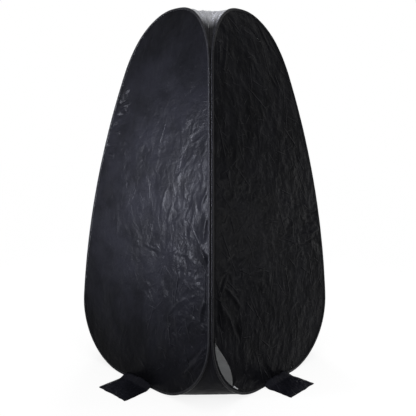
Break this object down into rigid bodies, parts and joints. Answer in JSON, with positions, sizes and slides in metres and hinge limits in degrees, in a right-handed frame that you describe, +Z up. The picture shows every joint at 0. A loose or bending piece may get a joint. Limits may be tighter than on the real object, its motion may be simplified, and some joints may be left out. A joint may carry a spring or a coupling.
{
  "type": "portable fitting room",
  "caption": "Free-standing pop-up changing tent with bowed cloth walls on sprung wire loops, a zipped door and weight pockets at the foot.",
  "frame": {"origin": "middle of the footprint on the floor", "axes": "+Z up, -Y out of the door wall, +X to the right when facing the door"},
  "size_m": [1.3518, 1.3518, 1.9],
  "materials": {
    "wall_cloth": "coated black cloth, faint sheen",
    "sleeve_cloth": "black binding cloth",
    "roof_cloth": "silver-grey coated cloth",
    "floor_cloth": "dark grey coated cloth",
    "pocket_cloth": "black cloth, soft sheen",
    "spring_steel": "drawn spring wire",
    "zip_tape": "black woven tape with coil",
    "zip_metal": "pale grey coated die casting"
  },
  "bodies": {
    "tent": {"wall_front": "wall_cloth", "edge_sleeve_front": "sleeve_cloth", "spring_wire_front": "spring_steel", "wire_ferrule_front": "spring_steel", "wall_right": "wall_cloth", "edge_sleeve_right": "sleeve_cloth", "spring_wire_right": "spring_steel", "wire_ferrule_right": "spring_steel", "wall_back": "wall_cloth", "edge_sleeve_back": "sleeve_cloth", "spring_wire_back": "spring_steel", "wire_ferrule_back": "spring_steel", "wall_left": "wall_cloth", "edge_sleeve_left": "sleeve_cloth", "spring_wire_left": "spring_steel", "wire_ferrule_left": "spring_steel", "roof_sheet": "roof_cloth", "floor_sheet": "floor_cloth", "zip_tape_frame": "zip_tape", "zip_stop_foot": "zip_metal", "zip_stop_top": "zip_metal"},
    "door": {"door_leaf": "wall_cloth", "zip_tape_leaf": "zip_tape"},
    "slider_upper": {"zip_slider_upper": "zip_metal"},
    "slider_lower": {"zip_slider_lower": "zip_metal"},
    "pull_upper": {"zip_pull_upper": "zip_metal"},
    "pull_lower": {"zip_pull_lower": "zip_metal"},
    "pocket_front": {"weight_pocket_front": "pocket_cloth"},
    "pocket_right": {"weight_pocket_right": "pocket_cloth"},
    "pocket_back": {"weight_pocket_back": "pocket_cloth"},
    "pocket_left": {"weight_pocket_left": "pocket_cloth"}
  },
  "joints": [
    {"name": "door_swing", "type": "hinge", "parent": "tent", "child": "door", "pos_m": [0.12169, -0.44222, 0.9049], "axis": [-0.0369, 0.1302, 0.9908], "range_deg": [0, 90]},
    {"name": "zip_upper_run", "type": "hinge", "parent": "tent", "child": "slider_upper", "pos_m": [3.02913, 3.00053, 0], "axis": [-0.7071, 0.7071, 0], "range_deg": [0, 9]},
    {"name": "zip_lower_run", "type": "hinge", "parent": "tent", "child": "slider_lower", "pos_m": [-0.14247, -0.4915, 0.34476], "axis": [0, 0.9997, -0.024], "range_deg": [0, 36]},
    {"name": "pull_upper_swing", "type": "hinge", "parent": "slider_upper", "child": "pull_upper", "pos_m": [-0.46207, -0.49518, 0.35722], "axis": [-0.9998, 0.0011, 0.0209], "range_deg": [0, 150]},
    {"name": "pull_lower_swing", "type": "hinge", "parent": "slider_lower", "child": "pull_lower", "pos_m": [-0.33281, -0.50375, 0.08782], "axis": [-0.595, -0.0101, -0.8037], "range_deg": [0, 150]},
    {"name": "pocket_front_lift", "type": "hinge", "parent": "tent", "child": "pocket_front", "pos_m": [0, -0.505, 0.0052], "axis": [-1, 0, 0], "range_deg": [0, 80]},
    {"name": "pocket_right_lift", "type": "hinge", "parent": "tent", "child": "pocket_right", "pos_m": [0.505, 0, 0.0052], "axis": [0, -1, 0], "range_deg": [0, 80]},
    {"name": "pocket_back_lift", "type": "hinge", "parent": "tent", "child": "pocket_back", "pos_m": [0, 0.505, 0.0052], "axis": [1, 0, 0], "range_deg": [0, 80]},
    {"name": "pocket_left_lift", "type": "hinge", "parent": "tent", "child": "pocket_left", "pos_m": [-0.505, 0, 0.0052], "axis": [0, 1, 0], "range_deg": [0, 80]}
  ]
}
